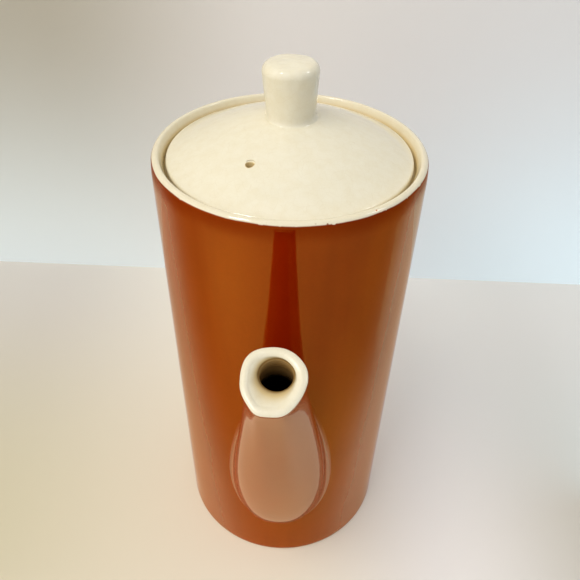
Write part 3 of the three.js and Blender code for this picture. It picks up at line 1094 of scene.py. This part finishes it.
floor_painted_light = painted("floor_painted_light", False, FLOOR_COLUMNS, FLOOR_ROWS, FLOOR_PAINTED_LIGHT, FLOOR_ROUGHNESS)
wall_painted_light = painted("backdrop_painted_light", True, WALL_COLUMNS, WALL_ROWS, WALL_PAINTED_LIGHT, WALL_ROUGHNESS)
stage_plane("floor", (-REACH, FLOOR_Z), (REACH, FLOOR_Z), floor_painted_light)
stage_plane("backdrop", (WALL_Y, FLOOR_Z), (WALL_Y, REACH), wall_painted_light)

# ---------------------------------------------------------------- light

ROOM_LEFT = (1.0, 0.94, 0.84)
ROOM_RIGHT = (0.84, 0.91, 1.0)
ROOM_LEVEL = 0.66
ROOM_LEAN = (-0.36, 0.10, 0.40)     # how much brighter it is towards +X, +Y and +Z


def soft_room():
    """Soft light from all round, warm and bright on the left, cool on the right, dim below."""
    room = Shader(bpy.data.worlds.new("room"))
    bpy.context.scene.world = room.owner
    direction = room.node("ShaderNodeTexCoord").outputs["Generated"]
    across = room.node("ShaderNodeMapRange", {"Value": room.xyz(direction)["X"], "From Min": -1})
    tint = room.mix(across.outputs[0], ROOM_LEFT, ROOM_RIGHT)
    lean = room.node("ShaderNodeVectorMath", {0: direction, 1: ROOM_LEAN}, operation="DOT_PRODUCT")
    level = room.plus(lean.outputs["Value"], ROOM_LEVEL)
    light = room.node("ShaderNodeBackground", {"Color": tint, "Strength": level}).outputs[0]
    room.node("ShaderNodeOutputWorld", {"Surface": light})


def softbox(name, place, aim, size, watts, colour, glint=False):
    """A soft light of this width and height. A glint shows in the glaze but lights nothing."""
    light = bpy.data.lights.new(name, "AREA")
    light.shape = "RECTANGLE"
    light.size, light.size_y = size
    light.energy = watts
    light.color = colour
    lamp = bpy.data.objects.new(name, light)
    bpy.context.scene.collection.objects.link(lamp)
    lamp.location = place
    lamp.visible_camera = False
    lamp.visible_glossy = glint
    lamp.visible_diffuse = not glint
    lamp.rotation_euler = (Vector(aim) - Vector(place)).to_track_quat("-Z", "Y").to_euler()


soft_room()
softbox("window", (-0.56, -0.52, 1.18), (0, 0, 0.12), (0.8, 0.8), 6.3, (1.0, 0.96, 0.90))
softbox("backdrop_lamp", (0.26, 0.02, 0.06), (0.20, WALL_Y, 0.04), (0.16, 0.16),
        0.085, (0.40, 0.73, 1.0))
softbox("glint_left", (-0.60, -0.42, 1.39), (0, 0, 0.2), (0.22, 0.38),
        5.0, (1.0, 0.98, 0.94), glint=True)
softbox("glint_right", (0.95, 0.08, 1.22), (0, 0, 0.2), (0.16, 0.24),
        1.6, (0.98, 0.99, 1.0), glint=True)

# ---------------------------------------------------------------- camera

CAMERA_BACK = 207.9 * MM
CAMERA_HEIGHT = 317.6 * MM
CAMERA_TURN = math.radians(1.6)
CAMERA_PITCH = math.radians(40.6)
CAMERA_PAN = math.radians(0.29)
CAMERA_ROLL = math.radians(1.31)
CAMERA_LENS = 37.3
CAMERA_SENSOR = 36
CAMERA_NEAREST = 0.01


def turn_pair(first, second, angle):
    """Two directions at right angles, turned together in their plane."""
    c, s = math.cos(angle), math.sin(angle)
    return c * first + s * second, c * second - s * first


def make_camera():
    forward = Vector((0, math.cos(CAMERA_PITCH), -math.sin(CAMERA_PITCH)))
    right = Vector((1, 0, 0))
    up = right.cross(forward)
    forward, right = turn_pair(forward, right, CAMERA_PAN)
    right, up = turn_pair(right, up, CAMERA_ROLL)
    axes = Matrix((right, up, -forward)).transposed().to_4x4()
    turn = Matrix.Rotation(CAMERA_TURN, 4, "Z")
    data = bpy.data.cameras.new("camera")
    data.lens = CAMERA_LENS
    data.sensor_width = CAMERA_SENSOR
    data.clip_start = CAMERA_NEAREST
    camera = bpy.data.objects.new("camera", data)
    bpy.context.scene.collection.objects.link(camera)
    camera.matrix_world = turn @ Matrix.Translation((0, -CAMERA_BACK, CAMERA_HEIGHT)) @ axes
    bpy.context.scene.camera = camera


make_camera()
bpy.context.scene.view_settings.view_transform = "Standard"
